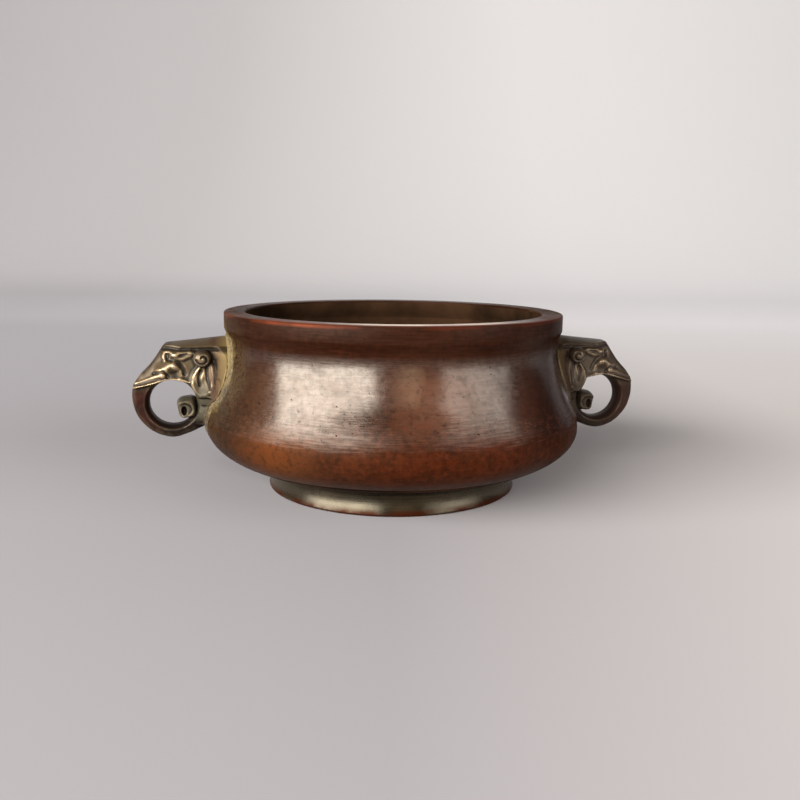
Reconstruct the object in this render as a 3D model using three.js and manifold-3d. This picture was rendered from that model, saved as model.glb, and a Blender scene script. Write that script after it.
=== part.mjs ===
// A low, bellied incense burner of cast copper alloy. Two elephant-head handles, whose trunks curl
// back into finger loops, are riveted and brazed to the wall, and a turned foot ring is brazed
// under the bowl. Millimetres, +Z up, origin at the centre of the foot's underside. The handles
// lie along X, and the side seen from the front faces -Y.

import * as THREE from "three";
import { mergeVertices } from "three/addons/utils/BufferGeometryUtils.js";
import Module from "manifold-3d";

const wasm = await Module();
wasm.setup();

// Overall sizes of the bowl
const HEIGHT = 51.8;
const RIM_RADIUS = 49.4;
const LIP_WIDTH = 6;
const LIP_HEIGHT = 4.2;
const LIP_EDGE = 0.4;
const WAIST_DEPTH = 1;
const WAIST_DROP = 8.2;
const BELLY_RADIUS = 55;
const BELLY_HEIGHT = 19.3;
const WALL = 3.6;
const WAIST_RADIUS = RIM_RADIUS - WAIST_DEPTH;
const WAIST_HEIGHT = HEIGHT - WAIST_DROP;

// How full the outer curve is, as shares of each stretch's width or height
const UNDER_SPREAD = 0.51;
const UNDER_LIFT = 0.05;
const BELLY_EASE = 0.58;
const SHOULDER_EASE = 0.28;
const WAIST_EASE = 0.5;
const NECK_EASE = 0.6;
const LIP_EASE = 0.3;
const FLOOR_CORNER = 5;
const FLOOR_ROUND = 0.8;
const LIP_UNDERCUT = 1;

// Foot ring
const FOOT_HEIGHT = 7;
const FOOT_TOP_RADIUS = 36.2;
const FOOT_RADIUS = 37;
const FOOT_WAIST = 0.5;
const FOOT_WIDTH = 4.6;
const FOOT_EDGE = 0.7;
const SPIGOT_HEIGHT = 1.2;
const SPIGOT_CLEARANCE = 0.3;
const SEAT_INSET = 2;
const SEAM_SIZE = 1.4;
const SEAM_OVERLAP = 1;
const SEAM_LIFT = 0.4;

// Handle, in its own plane: distance from the vessel's axis and height above the table. It hangs
// from the rim and stands off the belly.
const HANDLE_STANDOFF = 20.3;
const CREST_SETBACK = 9;
const CREST_ROUND = 0.6;
const CREST_RISE = 0.2;
const NECK_DROP = 7.6;
const CREST_FALL = 2;
const LOOP_DROP = 18.6;
const LOOP_HOLE_WIDTH = 13.2;
const LOOP_HOLE_HEIGHT = 12.8;
const LOOP_WIDEST_RISE = 1.5;
const TRUNK_THICKNESS = 4.6;
const TRUNK_BASE_THICKNESS = 3.7;
const TRUNK_WIDTH = 6.6;
const TRUNK_BEVEL = 1.2;
const TRUNK_BEND_RISE = 5;
const TRUNK_ROOT_WIDTH = 8.6;
const TRUNK_ROOT_BEVEL = 2;
const TRUNK_ROOT_RISE = 3;
const TRUNK_ROOT_BEND = 5;
const TRUNK_ROOT_REACH = 4.8;
const TRUNK_ROOT_TOP = 0.8;
const ROOT_SINK = 2;
const FOREHEAD_SETBACK = 2;
const FOREHEAD_RISE = 7.5;
const FOREHEAD_HOLLOW = 0.8;
const FOREHEAD_WIDTH = 6.8;
const FOREHEAD_BEVEL = 2.8;
const HEAD_WIDTH = 12.8;
const HEAD_BEVEL = 0.8;
const THROAT_RISE = 2.4;
const THROAT_THICKNESS = 1;
const JAW_LIFT = 0.6;
const JAW_BEND_SETBACK = 5;
const JAW_SETBACK = 1.5;
const MUZZLE_REACH = 4;
const MUZZLE_HEIGHT = 2.8;
const TEMPLE_REACH = 2;
const TEMPLE_DROP = 4;
const NECK_WIDTH = 24;
const NECK_DEPTH = 3;
const NECK_FLARE = 2;
const NECK_INSET = 9;
const NECK_TOP_MARGIN = 0.9;
const NECK_CORNER = 5;
const ROOT_CORNER = 3;
const EAR_SETBACK = 10.8;
const EAR_DROP = 5;
const EAR_THICKNESS = 2;
const EAR_SINK = 1;
const EAR_LENGTH = 11.4;
const EAR_BREADTH = 7;
const EAR_BEVEL = 0.5;
const EAR_CURL_RADIUS = 2.5;
const EAR_CURL_STANDOFF = 0.9;
const EYE_RADIUS = 1.5;
const EYE_SETBACK = 4.4;
const EYE_DROP = 2.5;
const EYE_FLATNESS = 0.7;
const BROW_RADIUS = 0.9;
const BROW_LENGTH = 6.8;
const BROW_SETBACK = 1.2;
const BROW_DROP = 1.1;
const BROW_SINK = 0.2;
const TUSK_LENGTH = 9.4;
const TUSK_RADIUS = 1.3;
const TUSK_TIP_RADIUS = 0.6;
const TUSK_SLOPE = 17;
const TUSK_SETBACK = 1.5;
const TUSK_RISE = 2;
const TUSK_SINK = 0.6;
const TRUNK_TIP_RADIUS = 2.75;
const TRUNK_TIP_WIDTH = 8.4;
const TRUNK_TIP_DIMPLE = 0.9;
const TRUNK_TIP_DROP = 1.3;
const TRUNK_TIP_INSET = 2.6;
const TRUNK_TIP_WEB = 1.7;
const HANDLE_REACH = BELLY_RADIUS + HANDLE_STANDOFF;
const CREST_REACH = HANDLE_REACH - CREST_SETBACK;
const NECK_HEIGHT = HEIGHT - NECK_DROP;
const CREST_HEIGHT = NECK_HEIGHT - CREST_FALL;
const LOOP_CENTRE_HEIGHT = NECK_HEIGHT - LOOP_DROP;
const LOOP_TOP = LOOP_CENTRE_HEIGHT + LOOP_HOLE_HEIGHT / 2;
const LOOP_BOTTOM = LOOP_CENTRE_HEIGHT - LOOP_HOLE_HEIGHT / 2 - TRUNK_BASE_THICKNESS;
const LOOP_OUTER = HANDLE_REACH - TRUNK_THICKNESS;
const LOOP_CENTRE_REACH = LOOP_OUTER - LOOP_HOLE_WIDTH / 2;
const LOOP_INNER = LOOP_OUTER - LOOP_HOLE_WIDTH;
const TRUNK_ROOT_BOTTOM = LOOP_BOTTOM + TRUNK_ROOT_RISE;
const TRUNK_TIP_REACH = LOOP_INNER + TRUNK_TIP_INSET;
const EAR_REACH = CREST_REACH - EAR_SETBACK;
const EAR_TOP = NECK_HEIGHT - EAR_DROP;

// How a handle is joined to the wall
const JOINT_GAP = 0.3;
const BRAZE_THICKNESS = 1;
const BRAZE_MARGIN = { side: 6, top: 1, bottom: 1.4 };
const JOINT_MARGIN = { side: JOINT_GAP, top: JOINT_GAP, bottom: JOINT_GAP };
const NO_MARGIN = { side: 0, top: 0, bottom: 0 };
const ROOT_LEVEL = BRAZE_THICKNESS + 2 * JOINT_GAP;
const RIVET_RADIUS = 1.5;
const RIVET_CLEARANCE = 0.1;
const RIVET_DEPTH = 4;
const RIVET_HEAD_RADIUS = 2.9;
const RIVET_HEAD_HEIGHT = 1.3;
const RIVET_HEAD_TAPER = 0.2;
const RIVET_OVERRUN = 3;
const UPPER_RIVET_DROP = 5.8;
const LOWER_RIVET_DROP = 3.5;
const UPPER_RIVET_HEIGHT = NECK_HEIGHT - UPPER_RIVET_DROP;
const LOWER_RIVET_HEIGHT = LOOP_CENTRE_HEIGHT - LOWER_RIVET_DROP;

const ROUND_SEGMENTS = 72;
const CURVE_POINTS = 8;
const NECK_POINTS = 4;
const OUTLINE_POINTS = 6;
const FOOT_POINTS = 6;
const ROOT_POINTS = 4;
const BEVEL_STEPS = 2;
const BALL_SIDES = 16;
const BALL_ROWS = 10;
const BAR_SIDES = 12;
const ROUND_BAR_SIDES = 20;
const BEYOND = 4;
const MERGE = 1e-4;
const LEVEL = 1e-6;

const COPPER = { color: 0x7a4a34, roughness: 0.38, metalness: 1 };
const DARK_BRONZE = { color: 0x6b6151, roughness: 0.45, metalness: 1 };
const FOOT_BRONZE = { color: 0x6f6856, roughness: 0.4, metalness: 1 };
const BRAZE = { color: 0x8d7f48, roughness: 0.8, metalness: 0.4 };

// Solids

function solidOf(geometry) {
  const bare = geometry.clone();
  bare.deleteAttribute("normal");
  bare.deleteAttribute("uv");
  const merged = mergeVertices(bare, MERGE);
  return new wasm.Manifold(
    new wasm.Mesh({
      numProp: 3,
      vertProperties: new Float32Array(merged.attributes.position.array),
      triVerts: new Uint32Array(merged.index.array),
    }),
  );
}

function geometryOf(solid) {
  const mesh = solid.getMesh();
  const geometry = new THREE.BufferGeometry();
  geometry.setAttribute("position", new THREE.BufferAttribute(mesh.vertProperties, 3));
  geometry.setIndex(new THREE.BufferAttribute(mesh.triVerts, 1));
  geometry.computeVertexNormals();
  return geometry;
}

// A profile of (radius, height) points turned about the vertical axis.
function turned(points) {
  const geometry = new THREE.LatheGeometry(points, ROUND_SEGMENTS);
  return solidOf(geometry.rotateX(Math.PI / 2));
}

// A shape drawn as (reach, height), given a width across the handle and centred on its plane.
function slab(shape, width, bevel, centre = 0) {
  const geometry = new THREE.ExtrudeGeometry(shape, {
    depth: width - 2 * bevel,
    bevelEnabled: bevel > 0,
    bevelThickness: bevel,
    bevelSize: bevel,
    bevelOffset: -bevel,
    bevelSegments: BEVEL_STEPS,
    curveSegments: OUTLINE_POINTS,
  });
  geometry.translate(0, 0, -width / 2 + bevel - centre);
  return solidOf(geometry.rotateX(Math.PI / 2));
}

function ball(radius, reach, across, height, flatten = 1) {
  const geometry = new THREE.SphereGeometry(radius, BALL_SIDES, BALL_ROWS);
  geometry.scale(1, flatten, 1);
  return solidOf(geometry.translate(reach, across, height));
}

// A round bar, tapered where its end radius differs, between two points.
function bar(start, end, startRadius, endRadius = startRadius, sides = BAR_SIDES) {
  const along = new THREE.Vector3().subVectors(end, start);
  const geometry = new THREE.CylinderGeometry(endRadius, startRadius, along.length(), sides);
  const turn = new THREE.Quaternion().setFromUnitVectors(
    new THREE.Vector3(0, 1, 0),
    along.clone().normalize(),
  );
  geometry.applyQuaternion(turn);
  const middle = new THREE.Vector3().addVectors(start, end).multiplyScalar(0.5);
  return solidOf(geometry.translate(middle.x, middle.y, middle.z));
}

function mirrored(make) {
  return make(1).add(make(-1));
}

function node(name, solid, finish) {
  const mesh = new THREE.Mesh(geometryOf(solid), new THREE.MeshStandardMaterial(finish));
  mesh.name = name;
  return mesh;
}

// The vessel's outer curve, from the foot's seat up to the lip, as (radius, height) points.
function outerCurve() {
  const seat = new THREE.Vector2(FOOT_TOP_RADIUS - SEAT_INSET, FOOT_HEIGHT);
  const belly = new THREE.Vector2(BELLY_RADIUS, BELLY_HEIGHT);
  const waist = new THREE.Vector2(WAIST_RADIUS, WAIST_HEIGHT);
  const lip = new THREE.Vector2(RIM_RADIUS, HEIGHT - LIP_HEIGHT);
  const spread = belly.x - seat.x;
  const rise = belly.y - seat.y;
  const climb = waist.y - belly.y;
  const neck = lip.y - waist.y;
  const underside = new THREE.CubicBezierCurve(
    seat,
    new THREE.Vector2(seat.x + UNDER_SPREAD * spread, seat.y + UNDER_LIFT * rise),
    new THREE.Vector2(belly.x, belly.y - BELLY_EASE * rise),
    belly,
  );
  const shoulder = new THREE.CubicBezierCurve(
    belly,
    new THREE.Vector2(belly.x, belly.y + SHOULDER_EASE * climb),
    new THREE.Vector2(waist.x, waist.y - WAIST_EASE * climb),
    waist,
  );
  const flare = new THREE.CubicBezierCurve(
    waist,
    new THREE.Vector2(waist.x, waist.y + NECK_EASE * neck),
    new THREE.Vector2(lip.x, lip.y - LIP_EASE * neck),
    lip,
  );
  return [
    ...underside.getPoints(CURVE_POINTS),
    ...shoulder.getPoints(CURVE_POINTS).slice(1),
    ...flare.getPoints(NECK_POINTS).slice(1),
  ];
}

// The same curve moved sideways by a distance: outwards if it is positive.
function moved(points, distance) {
  return points.map((point, i) => {
    const before = points[Math.max(i - 1, 0)];
    const after = points[Math.min(i + 1, points.length - 1)];
    const along = new THREE.Vector2().subVectors(after, before).normalize();
    return new THREE.Vector2(point.x + along.y * distance, point.y - along.x * distance);
  });
}

// Everything within a distance of the vessel's outer surface, the inside included.
function vesselBlock(distance) {
  const side = moved(outerCurve(), distance);
  const top = new THREE.Vector2(RIM_RADIUS + distance, HEIGHT);
  const bottom = side[0].y;
  return turned([
    new THREE.Vector2(0, bottom),
    ...side.filter((point) => point.y > bottom - LEVEL),
    top,
    new THREE.Vector2(0, top.y),
  ]);
}

// The space inside the bowl, drawn in by a margin and open upwards.
function cavityBlock(margin) {
  const mouth = RIM_RADIUS - LIP_WIDTH - margin;
  const floor = FOOT_HEIGHT + WALL + margin;
  const side = moved(outerCurve(), -WALL - margin).filter(
    (point) => point.y > floor + FLOOR_ROUND && point.y < HEIGHT - LIP_HEIGHT - LIP_UNDERCUT,
  );
  return turned([
    new THREE.Vector2(0, floor),
    new THREE.Vector2(side[0].x - FLOOR_CORNER, floor),
    ...side,
    new THREE.Vector2(mouth, HEIGHT - LIP_HEIGHT),
    new THREE.Vector2(mouth, HEIGHT + BEYOND),
    new THREE.Vector2(0, HEIGHT + BEYOND),
  ]);
}

// Where a handle's rivet stands on the wall, as its reach at a height on the outer curve.
function wallReach(height) {
  const points = outerCurve();
  const next = points.findIndex((point) => point.y >= height);
  const [low, high] = [points[next - 1], points[next]];
  return low.x + ((high.x - low.x) * (height - low.y)) / (high.y - low.y);
}

const RIVET_HEIGHTS = { upper: UPPER_RIVET_HEIGHT, lower: LOWER_RIVET_HEIGHT };

function rivetBar(height, radius, extra) {
  const inner = new THREE.Vector3(wallReach(height) - WALL - RIVET_OVERRUN, 0, height);
  const outer = new THREE.Vector3(wallReach(height) + RIVET_DEPTH + extra, 0, height);
  return bar(inner, outer, radius, radius, ROUND_BAR_SIDES);
}

function rivetHoles() {
  const radius = RIVET_RADIUS + RIVET_CLEARANCE;
  return rivetBar(UPPER_RIVET_HEIGHT, radius, JOINT_GAP).add(
    rivetBar(LOWER_RIVET_HEIGHT, radius, JOINT_GAP),
  );
}

// Bowl: cast wall, lip and floor, with a spigot that centres the foot ring
function bowl() {
  const spigotRadius = FOOT_TOP_RADIUS - FOOT_WIDTH - SPIGOT_CLEARANCE;
  const outside = turned([
    new THREE.Vector2(0, FOOT_HEIGHT - SPIGOT_HEIGHT),
    new THREE.Vector2(spigotRadius, FOOT_HEIGHT - SPIGOT_HEIGHT),
    new THREE.Vector2(spigotRadius, FOOT_HEIGHT),
    ...outerCurve(),
    new THREE.Vector2(RIM_RADIUS, HEIGHT - LIP_EDGE),
    new THREE.Vector2(RIM_RADIUS - LIP_EDGE, HEIGHT),
    new THREE.Vector2(0, HEIGHT),
  ]);
  const holes = rivetHoles();
  return outside.subtract(cavityBlock(0)).subtract(holes).subtract(holes.rotate([0, 0, 180]));
}

// Foot ring: slightly waisted outside, with a worn edge where it stands
function footRing() {
  const inner = FOOT_TOP_RADIUS - FOOT_WIDTH;
  const flare = new THREE.QuadraticBezierCurve(
    new THREE.Vector2(FOOT_RADIUS, FOOT_EDGE),
    new THREE.Vector2(FOOT_TOP_RADIUS - FOOT_WAIST, FOOT_HEIGHT / 2),
    new THREE.Vector2(FOOT_TOP_RADIUS, FOOT_HEIGHT),
  );
  const outline = [
    new THREE.Vector2(inner + FOOT_EDGE, 0),
    new THREE.Vector2(FOOT_RADIUS - FOOT_EDGE, 0),
    ...flare.getPoints(FOOT_POINTS),
    new THREE.Vector2(inner, FOOT_HEIGHT),
    new THREE.Vector2(inner, FOOT_EDGE),
  ];
  return turned([...outline, outline[0]]);
}

// Braze seam: the fillet in the corner between the bowl's underside and the foot ring
function footSeam() {
  const bottom = FOOT_HEIGHT - SEAM_SIZE;
  const top = FOOT_HEIGHT + SEAM_LIFT;
  const inner = FOOT_TOP_RADIUS - SEAM_OVERLAP;
  const outer = FOOT_TOP_RADIUS + JOINT_GAP;
  const corner = turned([
    new THREE.Vector2(inner, bottom),
    new THREE.Vector2(outer, bottom),
    new THREE.Vector2(outer + SEAM_SIZE, top),
    new THREE.Vector2(inner, top),
    new THREE.Vector2(inner, bottom),
  ]);
  const inside = turned([
    new THREE.Vector2(0, 0),
    new THREE.Vector2(outer, 0),
    new THREE.Vector2(outer, HEIGHT),
    new THREE.Vector2(0, HEIGHT),
  ]);
  return corner.subtract(inside).subtract(vesselBlock(JOINT_GAP));
}

// Handle outlines

// The loop that the trunk makes, from the forehead round to its root under the ear.
function trunkOutline() {
  const wall = wallReach(TRUNK_ROOT_BOTTOM);
  const widest = LOOP_CENTRE_HEIGHT + LOOP_WIDEST_RISE;
  const crest = new THREE.Vector2(CREST_REACH + CREST_ROUND, CREST_HEIGHT - CREST_ROUND);
  const forehead = new THREE.Vector2(HANDLE_REACH - FOREHEAD_SETBACK, LOOP_CENTRE_HEIGHT + FOREHEAD_RISE);
  const hollow = new THREE.Vector2().addVectors(crest, forehead).multiplyScalar(0.5);
  hollow.x -= FOREHEAD_HOLLOW;
  const shape = new THREE.Shape();
  shape.moveTo(wall - ROOT_SINK, TRUNK_ROOT_BOTTOM);
  shape.lineTo(wall + ROOT_LEVEL, TRUNK_ROOT_BOTTOM);
  shape.quadraticCurveTo(LOOP_CENTRE_REACH - TRUNK_ROOT_BEND, LOOP_BOTTOM, LOOP_CENTRE_REACH, LOOP_BOTTOM);
  shape.absellipse(
    LOOP_CENTRE_REACH, widest, HANDLE_REACH - LOOP_CENTRE_REACH, widest - LOOP_BOTTOM, -Math.PI / 2, 0,
  );
  shape.quadraticCurveTo(HANDLE_REACH, LOOP_CENTRE_HEIGHT + TRUNK_BEND_RISE, forehead.x, forehead.y);
  shape.quadraticCurveTo(hollow.x, hollow.y, crest.x, crest.y);
  shape.lineTo(CREST_REACH - CREST_ROUND, CREST_HEIGHT + CREST_RISE);
  shape.lineTo(wall - ROOT_SINK, NECK_HEIGHT);
  shape.closePath();
  return shape;
}

// The opening inside the loop. Behind the curled tip it stops at the web that joins the tip to the
// trunk's root.
function loopHole() {
  const halfWidth = LOOP_HOLE_WIDTH / 2;
  const halfHeight = LOOP_HOLE_HEIGHT / 2;
  const web = TRUNK_TIP_REACH + TRUNK_TIP_WEB;
  const webAngle = 2 * Math.PI - Math.acos((web - LOOP_CENTRE_REACH) / halfWidth);
  const shape = new THREE.Shape();
  shape.moveTo(LOOP_OUTER, LOOP_CENTRE_HEIGHT);
  shape.absellipse(LOOP_CENTRE_REACH, LOOP_CENTRE_HEIGHT, halfWidth, halfHeight, 0, Math.PI);
  shape.lineTo(web, LOOP_CENTRE_HEIGHT);
  shape.absellipse(LOOP_CENTRE_REACH, LOOP_CENTRE_HEIGHT, halfWidth, halfHeight, webAngle, 2 * Math.PI);
  return shape;
}

// The wider head, from the wall to the forehead, with the jaw along the top of the loop.
function headOutline() {
  const root = wallReach(UPPER_RIVET_HEIGHT) - ROOT_SINK;
  const throat = LOOP_CENTRE_HEIGHT + THROAT_RISE;
  const jaw = LOOP_TOP + JAW_LIFT;
  const shape = new THREE.Shape();
  shape.moveTo(root, throat);
  shape.lineTo(LOOP_INNER - THROAT_THICKNESS, throat);
  shape.quadraticCurveTo(CREST_REACH - JAW_BEND_SETBACK, LOOP_TOP, CREST_REACH - JAW_SETBACK, jaw);
  shape.lineTo(CREST_REACH + MUZZLE_REACH - CREST_ROUND, jaw + MUZZLE_HEIGHT / 2);
  shape.lineTo(CREST_REACH + MUZZLE_REACH, jaw + MUZZLE_HEIGHT);
  shape.lineTo(CREST_REACH + TEMPLE_REACH, CREST_HEIGHT - TEMPLE_DROP);
  shape.lineTo(CREST_REACH - CREST_ROUND, CREST_HEIGHT + CREST_RISE);
  shape.lineTo(root, NECK_HEIGHT);
  shape.closePath();
  return shape;
}

// The footprint of a handle on the wall, as (across, height): broad at the neck, narrow below. The
// margin says how far it reaches out beyond the handle at its sides, top and bottom.
function rootOutline(margin) {
  const neck = NECK_WIDTH / 2 + margin.side;
  const trunk = TRUNK_ROOT_WIDTH / 2 + margin.side;
  const top = NECK_HEIGHT + NECK_TOP_MARGIN + margin.top;
  const shoulder = LOOP_CENTRE_HEIGHT + TRUNK_ROOT_TOP - margin.bottom;
  const bottom = TRUNK_ROOT_BOTTOM - margin.bottom;
  const shape = new THREE.Shape();
  shape.moveTo(-trunk + ROOT_CORNER, bottom);
  shape.lineTo(trunk - ROOT_CORNER, bottom);
  shape.quadraticCurveTo(trunk, bottom, trunk, bottom + ROOT_CORNER);
  shape.quadraticCurveTo(trunk, shoulder, trunk + ROOT_CORNER / 2, shoulder);
  shape.quadraticCurveTo(neck, shoulder, neck, shoulder + NECK_CORNER);
  shape.lineTo(neck, top - NECK_CORNER);
  shape.quadraticCurveTo(neck, top, neck - NECK_CORNER, top);
  shape.lineTo(-neck + NECK_CORNER, top);
  shape.quadraticCurveTo(-neck, top, -neck, top - NECK_CORNER);
  shape.lineTo(-neck, shoulder + NECK_CORNER);
  shape.quadraticCurveTo(-neck, shoulder, -trunk - ROOT_CORNER / 2, shoulder);
  shape.quadraticCurveTo(-trunk, shoulder, -trunk, bottom + ROOT_CORNER);
  shape.quadraticCurveTo(-trunk, bottom, -trunk + ROOT_CORNER, bottom);
  return shape;
}

// That footprint driven outwards along the handle's reach, between two reaches, and drawn in by a
// flare at its ends.
function rootPrism(margin, from, to, flare = 0) {
  const geometry = new THREE.ExtrudeGeometry(rootOutline(margin), {
    depth: to - from - 2 * flare,
    bevelEnabled: flare > 0,
    bevelThickness: flare,
    bevelSize: flare,
    bevelOffset: -flare,
    bevelSegments: BEVEL_STEPS,
    curveSegments: ROOT_POINTS,
  });
  geometry.rotateX(Math.PI / 2);
  geometry.rotateZ(Math.PI / 2);
  return solidOf(geometry.translate(from + flare, 0, 0));
}

// The wedge that slopes one side of the head away towards the forehead.
function foreheadWedge(hand) {
  const top = new THREE.Vector3(CREST_REACH + CREST_ROUND, 0, CREST_HEIGHT - CREST_ROUND);
  const foot = new THREE.Vector3(HANDLE_REACH - FOREHEAD_SETBACK, 0, LOOP_CENTRE_HEIGHT + FOREHEAD_RISE);
  const down = new THREE.Vector3().subVectors(foot, top).normalize();
  const across = new THREE.Vector3(0, 1, 0);
  const inward = new THREE.Vector3().crossVectors(across, down);
  const edge = FOREHEAD_WIDTH / 2;
  const side = HEAD_WIDTH / 2;
  const slope = (side - edge) / FOREHEAD_BEVEL;
  const shape = new THREE.Shape();
  shape.moveTo(-BEYOND, hand * (edge - slope * BEYOND));
  shape.lineTo(FOREHEAD_BEVEL + BEYOND, hand * (side + slope * BEYOND));
  shape.lineTo(-BEYOND, hand * (side + slope * BEYOND));
  shape.closePath();
  const length = top.distanceTo(foot) + 2 * BEYOND;
  const geometry = new THREE.ExtrudeGeometry(shape, { depth: length, bevelEnabled: false });
  geometry.translate(0, 0, -BEYOND);
  const place = new THREE.Matrix4().makeBasis(inward, across, down).setPosition(top);
  return solidOf(geometry.applyMatrix4(place));
}

// One ear flap: an oval that hangs from the curl at its top
function earOutline() {
  const shape = new THREE.Shape();
  shape.absellipse(EAR_REACH, EAR_TOP - EAR_LENGTH / 2, EAR_BREADTH / 2, EAR_LENGTH / 2, 0, 2 * Math.PI);
  return shape;
}

// One brow: a round ridge over the eye
function brow(hand) {
  const across = hand * (HEAD_WIDTH / 2 - BROW_SINK);
  const front = CREST_REACH - BROW_SETBACK;
  const height = CREST_HEIGHT - BROW_DROP;
  return bar(
    new THREE.Vector3(front - BROW_LENGTH, across, height),
    new THREE.Vector3(front, across, height),
    BROW_RADIUS,
  );
}

// One tusk: a tapered bar from the corner of the mouth down along the trunk
function tusk(hand) {
  const slope = THREE.MathUtils.degToRad(TUSK_SLOPE);
  const start = new THREE.Vector3(
    CREST_REACH - TUSK_SETBACK,
    hand * (HEAD_WIDTH / 2 - TUSK_SINK),
    LOOP_TOP + TUSK_RISE,
  );
  const end = new THREE.Vector3(
    start.x + TUSK_LENGTH * Math.cos(slope),
    hand * (TRUNK_WIDTH / 2 - TUSK_TIP_RADIUS / 2),
    start.z - TUSK_LENGTH * Math.sin(slope),
  );
  return bar(start, end, TUSK_RADIUS, TUSK_TIP_RADIUS);
}

// The trunk's tip: a short roll across the handle, dimpled at both ends
function trunkTip() {
  const height = LOOP_CENTRE_HEIGHT - TRUNK_TIP_DROP;
  const half = TRUNK_TIP_WIDTH / 2;
  const roll = bar(
    new THREE.Vector3(TRUNK_TIP_REACH, -half, height),
    new THREE.Vector3(TRUNK_TIP_REACH, half, height),
    TRUNK_TIP_RADIUS,
    TRUNK_TIP_RADIUS,
    ROUND_BAR_SIDES,
  );
  return roll.subtract(
    mirrored((hand) => ball(TRUNK_TIP_DIMPLE, TRUNK_TIP_REACH, hand * half, height)),
  );
}

// The plate that spreads the handle's neck over the wall, and the thick root of its trunk
function handleRoot() {
  const neck = wallReach(UPPER_RIVET_HEIGHT);
  const wall = wallReach(LOWER_RIVET_HEIGHT);
  const top = LOOP_CENTRE_HEIGHT + TRUNK_ROOT_TOP;
  const shape = new THREE.Shape();
  shape.moveTo(wall - ROOT_SINK, TRUNK_ROOT_BOTTOM);
  shape.lineTo(wall + ROOT_LEVEL, TRUNK_ROOT_BOTTOM);
  shape.lineTo(wall + TRUNK_ROOT_REACH, TRUNK_ROOT_BOTTOM - TRUNK_BEVEL);
  shape.lineTo(wall + TRUNK_ROOT_REACH, top);
  shape.lineTo(wall - 2 * ROOT_SINK, top + ROOT_SINK);
  shape.closePath();
  return rootPrism(NO_MARGIN, neck - NECK_INSET, neck + NECK_DEPTH, NECK_FLARE)
    .add(slab(shape, TRUNK_ROOT_WIDTH, TRUNK_ROOT_BEVEL));
}

// Handle casting: elephant's head, with the trunk curled round into a finger loop
function handleCasting() {
  const side = HEAD_WIDTH / 2;
  const trunk = slab(trunkOutline(), TRUNK_WIDTH, TRUNK_BEVEL);
  const head = slab(headOutline(), HEAD_WIDTH, HEAD_BEVEL);
  const opening = slab(loopHole(), NECK_WIDTH, 0);
  const ears = mirrored((hand) =>
    slab(earOutline(), EAR_THICKNESS + EAR_SINK, EAR_BEVEL, hand * (side + (EAR_THICKNESS - EAR_SINK) / 2)),
  );
  const curls = mirrored((hand) =>
    ball(EAR_CURL_RADIUS, EAR_REACH, hand * (side + EAR_CURL_STANDOFF), EAR_TOP),
  );
  const eyes = mirrored((hand) =>
    ball(EYE_RADIUS, CREST_REACH - EYE_SETBACK, hand * side, CREST_HEIGHT - EYE_DROP, EYE_FLATNESS),
  );
  return trunk
    .add(head.subtract(mirrored(foreheadWedge)))
    .subtract(opening)
    .add(handleRoot())
    .add(ears)
    .add(curls)
    .add(eyes)
    .add(mirrored(brow))
    .add(mirrored(tusk))
    .add(trunkTip())
    .subtract(vesselBlock(JOINT_GAP))
    .subtract(rivetHoles());
}

// Braze band: the low, rough fillet of filler metal on the wall round a handle's root
function brazeBand() {
  const near = wallReach(UPPER_RIVET_HEIGHT) - NECK_INSET;
  const far = BELLY_RADIUS + BEYOND;
  const skin = vesselBlock(JOINT_GAP + BRAZE_THICKNESS).subtract(vesselBlock(JOINT_GAP));
  return skin
    .intersect(rootPrism(BRAZE_MARGIN, near, far))
    .subtract(rootPrism(JOINT_MARGIN, near - BEYOND, far + BEYOND));
}

// Rivet: driven into the handle from inside the bowl, with its head peened to the wall
function rivet(height) {
  const inner = wallReach(height) - WALL;
  const headEnd = inner - RIVET_HEAD_HEIGHT;
  const head = bar(
    new THREE.Vector3(headEnd, 0, height),
    new THREE.Vector3(inner + RIVET_HEAD_RADIUS, 0, height),
    RIVET_HEAD_RADIUS * (1 - RIVET_HEAD_TAPER),
    RIVET_HEAD_RADIUS * (1 + RIVET_HEAD_TAPER),
    ROUND_BAR_SIDES,
  ).intersect(cavityBlock(JOINT_GAP / 2));
  const shank = bar(
    new THREE.Vector3((headEnd + inner) / 2, 0, height),
    new THREE.Vector3(wallReach(height) + RIVET_DEPTH, 0, height),
    RIVET_RADIUS,
    RIVET_RADIUS,
    ROUND_BAR_SIDES,
  );
  return head.add(shank);
}

const burner = new THREE.Group();
burner.name = "incense_burner";
burner.add(node("bowl", bowl(), COPPER));
burner.add(node("foot_ring", footRing(), FOOT_BRONZE));
burner.add(node("foot_braze_seam", footSeam(), BRAZE));

for (const [side, turn] of [["right", 0], ["left", Math.PI]]) {
  const group = new THREE.Group();
  group.rotation.z = turn;
  group.add(node(`${side}_elephant_handle`, handleCasting(), DARK_BRONZE));
  group.add(node(`${side}_handle_braze`, brazeBand(), BRAZE));
  for (const [place, height] of Object.entries(RIVET_HEIGHTS)) {
    group.add(node(`${side}_${place}_rivet`, rivet(height), COPPER));
  }
  burner.add(group);
}

export default burner;
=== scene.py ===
import math

import bpy
import numpy as np
from mathutils import Matrix, Vector


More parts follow.
